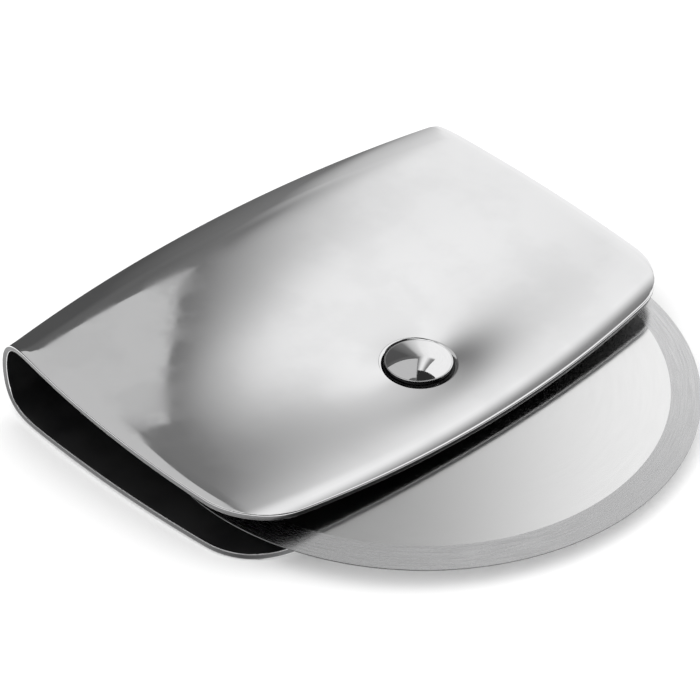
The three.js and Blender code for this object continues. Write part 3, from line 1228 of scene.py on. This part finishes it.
@dataclass
class AxleHalf:
    """One half of the axle, with its domed head. It is drawn head up."""

    end: AxleEnd
    head_diameter: float = field(default_factory=lambda: node_width("axle_barrel"))
    head_bottom: float = 3.85
    head_height: float = 0.85
    rim_width: float = 0.24
    rim_ease: float = 0.12
    rim_ease_steps: int = 8
    rim_angle: float = 20.0
    painted_shade_rise: float = 0.3
    barrel_dome: float = 1.0
    screw_dome: float = 0.5
    dome_steps: int = 20
    barrel_radius: float = 3.0
    barrel_roof: float = 1.6
    screw_radius: float = 1.9
    screw_length: float = 5.0
    screw_clearance: float = 0.05
    barrel_gap: float = 0.1
    socket_sides: int = 6
    socket_across_flats: float = 2.0
    socket_depth: float = 2.0
    socket_margin: float = 1.25
    segments: int = 96
    crease_angle: float = 14.0

    @property
    def is_screw(self) -> bool:
        """Whether this half is the screw."""
        return self.end is AxleEnd.SCREW

    @property
    def head_top(self) -> float:
        """The height of the head's rim."""
        return self.head_bottom + self.head_height

    @property
    def dome_height(self) -> float:
        """The height of the dome over the head's rim."""
        return self.screw_dome if self.is_screw else self.barrel_dome

    def dome(self, innermost: float) -> list[Pair]:
        """Draws the round dome from the rim inwards.

        Args:
            innermost: The radius where the dome stops.

        Returns:
            Pairs of radius and height.
        """
        rim = self.head_diameter / 2.0 - self.rim_width
        radius = (rim ** 2 + self.dome_height ** 2) / (2.0 * self.dome_height)
        centre = self.head_top + self.dome_height - radius
        distances = [blend(rim, innermost, step / self.dome_steps) for step in range(self.dome_steps + 1)]
        return [(distance, centre + math.sqrt(radius ** 2 - distance ** 2)) for distance in distances]

    def shank(self) -> list[Pair]:
        """Draws the shank from the axis out to the underside of the head.

        Returns:
            Pairs of radius and height.
        """
        if self.is_screw:
            tip = self.head_bottom - self.screw_length
            return [(0.0, tip), (self.screw_radius, tip), (self.screw_radius, self.head_bottom)]
        bore = self.screw_radius + self.screw_clearance
        roof = self.head_top - self.barrel_roof
        bottom = self.barrel_gap - self.head_bottom
        outside = [(self.barrel_radius, bottom), (self.barrel_radius, self.head_bottom)]
        return [(0.0, roof), (bore, roof), (bore, bottom), *outside]

    def cut_socket(self, bm: BMesh) -> None:
        """Draws the open middle of the dome in to a hexagon and sinks it."""
        half = self.socket_across_flats / 2.0
        sector = math.tau / self.socket_sides
        verts, loop = drawn_out(bm, [edge for edge in bm.edges if edge.is_boundary])
        for vert in verts:
            angle = math.atan2(vert.co.y, vert.co.x)
            from_flat = (angle + sector / 2.0) % sector - sector / 2.0
            vert.co.xy = vert.co.xy.normalized() * half / math.cos(from_flat)
        verts, loop = drawn_out(bm, loop)
        for vert in verts:
            vert.co.z = self.head_top + self.dome_height - self.socket_depth
        bmesh.ops.edgeloop_fill(bm, edges=loop)
        bmesh.ops.recalc_face_normals(bm, faces=bm.faces[:])

    def build(self) -> Object:
        """Models the half by spinning its section, eases the head's rim and cuts the screw's socket.

        Returns:
            The finished piece.
        """
        radius = self.head_diameter / 2.0
        wall = [(radius, self.head_bottom), (radius, self.head_top)]
        dome = self.dome(self.socket_margin if self.is_screw else 0.0)
        bm = spun([*self.shank(), *wall, *dome], self.segments, closed=False)
        top = self.head_top - MERGE_DISTANCE
        corners = sharp_edges(bm, self.rim_angle)
        rim = [edge for edge in corners if min(vert.co.z for vert in edge.verts) > top]
        ease_corners(bm, rim, self.rim_ease, self.rim_ease_steps)
        if self.is_screw:
            self.cut_socket(bm)
            bmesh.ops.rotate(bm, verts=bm.verts[:], cent=ORIGIN, matrix=Matrix.Rotation(math.pi, 3, "X"))
        # Painted shade: the steep faces round the head's side take the near-black painted shade.
        for face in bm.faces:
            outermost = face.calc_center_median().xy.length > radius - self.rim_ease
            if outermost and abs(face.normal.z) < self.painted_shade_rise:
                face.material_index = AxleFace.SIDE
        crease(bm, self.crease_angle)
        return self.dress(bm)

    def dress(self, bm: BMesh) -> Object:
        """Gives the half its polish and the painted shade on its head's side wall, and hands it over as a
        piece.

        Args:
            bm: The modelled half.

        Returns:
            The finished piece.
        """
        piece = Piece(f"domed_{self.end.value}", Body.HANDLE, Slot.AXLE, self.end.value)
        return piece.finish(bm, [AXLE_POLISH, AXLE_PAINTED_SHADE])


# The studio


@dataclass(frozen=True)
class Card:
    """A card that only reflections see: part of a sphere round the wheel, of an even or changing tone.

    Attributes:
        name: The card's name.
        azimuth: Its reach in degrees, from +Y towards +X.
        elevation: Its reach in degrees above the floor.
        tones: Pairs of azimuth and the light that it gives there.
        low_tones: The same for its lower part, where that differs.
        change: The elevations between which its lower part passes into its upper part.
        lean: The degrees of azimuth by which its foot leans back towards its start.
        lean_top: The elevation below which it leans.
        lean_fade: The degrees of elevation over which it takes up its lean.
        distance: Its distance from the wheel, in metres.
        steps: The faces along each of its edges.
    """

    name: str
    azimuth: Pair
    elevation: Pair
    tones: tuple[Pair, ...]
    low_tones: tuple[Pair, ...] = ()
    change: Pair = (38.5, 43.0)
    lean: float = 0.0
    lean_top: float = 38.5
    lean_fade: float = 12.3
    distance: float = 30.0
    steps: int = 36

    def shades(self, sheet: ShaderSheet, across: NodeSocket, tones: tuple[Pair, ...]) -> NodeSocket:
        """Adds the ramp of tones along the card.

        Args:
            sheet: The card's node tree.
            across: The place along the card, from 0 to 1.
            tones: Pairs of azimuth and light.

        Returns:
            The ramp's colour.
        """
        node = sheet.add("ShaderNodeValToRGB", {0: across})
        ramp = node.color_ramp
        first, last = self.azimuth
        while len(ramp.elements) < len(tones):
            ramp.elements.new(1.0)
        for stop, (azimuth, tone) in zip(ramp.elements, tones):
            stop.position = (azimuth - first) / (last - first)
            stop.color = (tone, tone, tone, 1.0)
        return node.outputs[0]

    def material(self) -> Material:
        """Builds the card's plain light.

        Returns:
            The material.
        """
        sheet = MaterialSheet(self.name)
        sheet.material.cycles.emission_sampling = "NONE"
        where = sheet.add("ShaderNodeTexCoord")
        across, up, _ = sheet.add("ShaderNodeSeparateXYZ", {0: where.outputs["UV"]}).outputs
        colour = self.shades(sheet, across, self.tones)
        if self.low_tones:
            bottom, top = self.elevation
            start, end = ((height - bottom) / (top - bottom) for height in self.change)
            low = self.shades(sheet, across, self.low_tones)
            colour = sheet.mixed(sheet.ranged(up, (start, end)), low, colour)
        sheet.show(sheet.add("ShaderNodeEmission", {"Color": colour}))
        return sheet.material

    def build(self) -> Object:
        """Models the card from a grid bent round the wheel.

        Returns:
            The card, which only reflections see.
        """
        bm = bmesh.new()
        bm.loops.layers.uv.new("card")
        bmesh.ops.create_grid(bm, x_segments=self.steps, y_segments=self.steps, size=1.0, calc_uvs=True)
        for vert in bm.verts:
            elevation = blend(*self.elevation, (vert.co.y + 1.0) / 2.0)
            below = max(self.lean_top - elevation, 0.0)
            lean = self.lean * (1.0 - math.exp(-below / self.lean_fade))
            turn = math.radians(blend(*self.azimuth, (vert.co.x + 1.0) / 2.0) - lean)
            rise = math.radians(elevation)
            level = math.cos(rise)
            vert.co = self.distance * Vector((math.sin(turn) * level, math.cos(turn) * level, math.sin(rise)))
        card = placed(self.name, bm, [self.material()])
        card.visible_camera = False
        card.visible_diffuse = False
        card.visible_shadow = False
        card.visible_transmission = False
        return card


BACK_TONES = (
    (-100.0, 0.3), (-72.0, 0.05), (0.0, 0.1), (42.0, 0.13), (47.2, 0.2), (49.2, 0.48), (51.2, 0.78),
    (52.4, 0.91), (54.6, 0.98), (56.0, 0.9), (58.0, 0.62), (60.0, 0.32), (62.0, 0.22),
)
BACK_LOW_TONES = (
    (-100.0, 0.4), (-72.0, 0.05), (36.0, 0.09), (44.4, 0.2), (46.8, 0.53), (50.4, 0.75), (52.4, 0.92),
    (58.0, 1.0),
)
FRONT_TONES = ((110.0, 0.03), (260.0, 0.03))
FRONT_LOW_TONES = ((110.0, 0.8), (160.0, 0.55), (200.0, 0.7), (260.0, 0.5))
UNDER_TONES = ((-180.0, 0.9), (-110.0, 0.3), (-40.0, 0.85), (40.0, 0.35), (110.0, 0.9), (180.0, 0.9))
HIGH_TONES = ((-30.0, 0.57), (46.5, 0.57))
CEILING_TONES = ((48.0, 0.03), (120.0, 0.03))
CARDS = (
    Card("back_gradient_card", (-100.0, 63.5), (-4.0, 80.0), BACK_TONES, BACK_LOW_TONES, lean=7.8),
    Card("high_grey_card", (-30.0, 46.5), (45.4, 75.0), HIGH_TONES, distance=28.0),
    Card("camera_side_flag", (110.0, 260.0), (-2.0, 70.0), FRONT_TONES, FRONT_LOW_TONES, change=(2.0, 27.0)),
    Card("under_card", (-180.0, 180.0), (-89.0, -8.0), UNDER_TONES),
    Card("ceiling_flag", (48.0, 120.0), (64.0, 89.0), CEILING_TONES, distance=28.0),
)


@dataclass
class Studio:
    """A pale floor, a white tent, reflector cards, a soft key light and the camera."""

    floor_radius: float = 3.0
    floor_segments: int = 96
    floor_drop: float = 0.0002
    floor_colour: Colour = (0.90, 0.90, 0.90)
    floor_nearness: float = 0.012
    tent_light: float = 1.0
    tent_fill: float = 1.35
    key_place: tuple[float, float, float] = (-0.5, 0.3, 1.2)
    key_size: float = 0.9
    key_power: float = 1.6
    camera_place: tuple[float, float, float] = (-0.28138, -0.28225, 0.31359)
    camera_azimuth: float = -43.171
    camera_elevation: float = 37.588
    camera_roll: float = 0.166
    camera_lens: float = 147.04
    camera_sensor: float = 36.0
    camera_clip: float = 0.01

    def build(self) -> None:
        """Sets up the floor, the light, the cards and the camera."""
        scene = bpy.context.scene
        scene.view_settings.view_transform = "Standard"
        self.lay_floor()
        self.raise_tent(scene)
        self.hang_key(scene)
        for card in CARDS:
            card.build()
        self.set_camera(scene)

    def lay_floor(self) -> None:
        """Lays a round pale floor just under the wheel, clear from below and to mirrors that lie on it."""
        bm = bmesh.new()
        bmesh.ops.create_circle(bm, cap_ends=True, segments=self.floor_segments, radius=self.floor_radius)
        bmesh.ops.translate(bm, verts=bm.verts[:], vec=Vector((0.0, 0.0, -self.floor_drop)))
        sheet = MaterialSheet("floor_pale")
        paint = sheet.add("ShaderNodeBsdfDiffuse", {"Color": (*self.floor_colour, 1.0)})
        clear = sheet.add("ShaderNodeBsdfTransparent")
        behind = sheet.add("ShaderNodeNewGeometry").outputs["Backfacing"]
        ray = sheet.add("ShaderNodeLightPath").outputs
        near = sheet.math("LESS_THAN", ray["Ray Length"], self.floor_nearness)
        mirrored = sheet.math("MULTIPLY", near, ray["Is Glossy Ray"])
        unseen = sheet.math("MAXIMUM", behind, mirrored)
        sheet.show(sheet.add("ShaderNodeMixShader", {0: unseen, 1: paint.outputs[0], 2: clear.outputs[0]}))
        placed("floor", bm, [sheet.material])

    def raise_tent(self, scene: Scene) -> None:
        """Surrounds the wheel with even white light, a little stronger where it falls on dull surfaces."""
        world = bpy.data.worlds.new("white_tent")
        world.use_nodes = True
        sheet = ShaderSheet(world.node_tree)
        ray = sheet.add("ShaderNodeLightPath").outputs
        seen = sheet.math("MAXIMUM", ray["Is Camera Ray"], ray["Is Glossy Ray"])
        seen = sheet.math("MAXIMUM", seen, ray["Is Transmission Ray"])
        strength = sheet.ranged(seen, UNIT_RANGE, (self.tent_fill, self.tent_light))
        light = sheet.add("ShaderNodeBackground", {"Color": (1.0, 1.0, 1.0, 1.0), "Strength": strength})
        sheet.add("ShaderNodeOutputWorld", {"Surface": light.outputs[0]})
        scene.world = world

    def hang_key(self, scene: Scene) -> None:
        """Hangs a soft square light over the wheel."""
        light = bpy.data.lights.new("soft_key", "AREA")
        light.size = self.key_size
        light.energy = self.key_power
        lamp = bpy.data.objects.new("soft_key", light)
        lamp.location = self.key_place
        lamp.rotation_euler = Vector(self.key_place).to_track_quat("Z", "Y").to_euler()
        lamp.visible_camera = False
        scene.collection.objects.link(lamp)

    def set_camera(self, scene: Scene) -> None:
        """Stands the camera at the photograph's viewpoint, which is given in the wheel's level frame."""
        turn = math.radians(self.camera_azimuth)
        rise = math.radians(self.camera_elevation)
        roll = math.radians(self.camera_roll)
        back = Vector((math.sin(turn) * math.cos(rise), -math.cos(turn) * math.cos(rise), math.sin(rise)))
        right = Vector((math.cos(turn), math.sin(turn), 0.0))
        up = back.cross(right)
        rolled_right = math.cos(roll) * right + math.sin(roll) * up
        rolled_up = math.cos(roll) * up - math.sin(roll) * right
        data = bpy.data.cameras.new("camera")
        data.lens = self.camera_lens
        data.sensor_width = self.camera_sensor
        data.clip_start = self.camera_clip
        camera = bpy.data.objects.new("camera", data)
        axes = Matrix((rolled_right, rolled_up, back)).transposed().to_4x4()
        camera.matrix_world = AXLE.rest @ Matrix.Translation(Vector(self.camera_place)) @ axes
        scene.collection.objects.link(camera)
        scene.camera = camera


def main() -> None:
    """Builds the wheel's pieces and the studio, in order."""
    logging.basicConfig(level=logging.INFO, format="%(name)s: %(message)s")
    FoldedSheet().build()
    Blade().build()
    Hub().build()
    for end in AxleEnd:
        AxleHalf(end).build()
    Studio().build()
    LOG.info("studio ready")


if __name__ == "__main__":
    main()
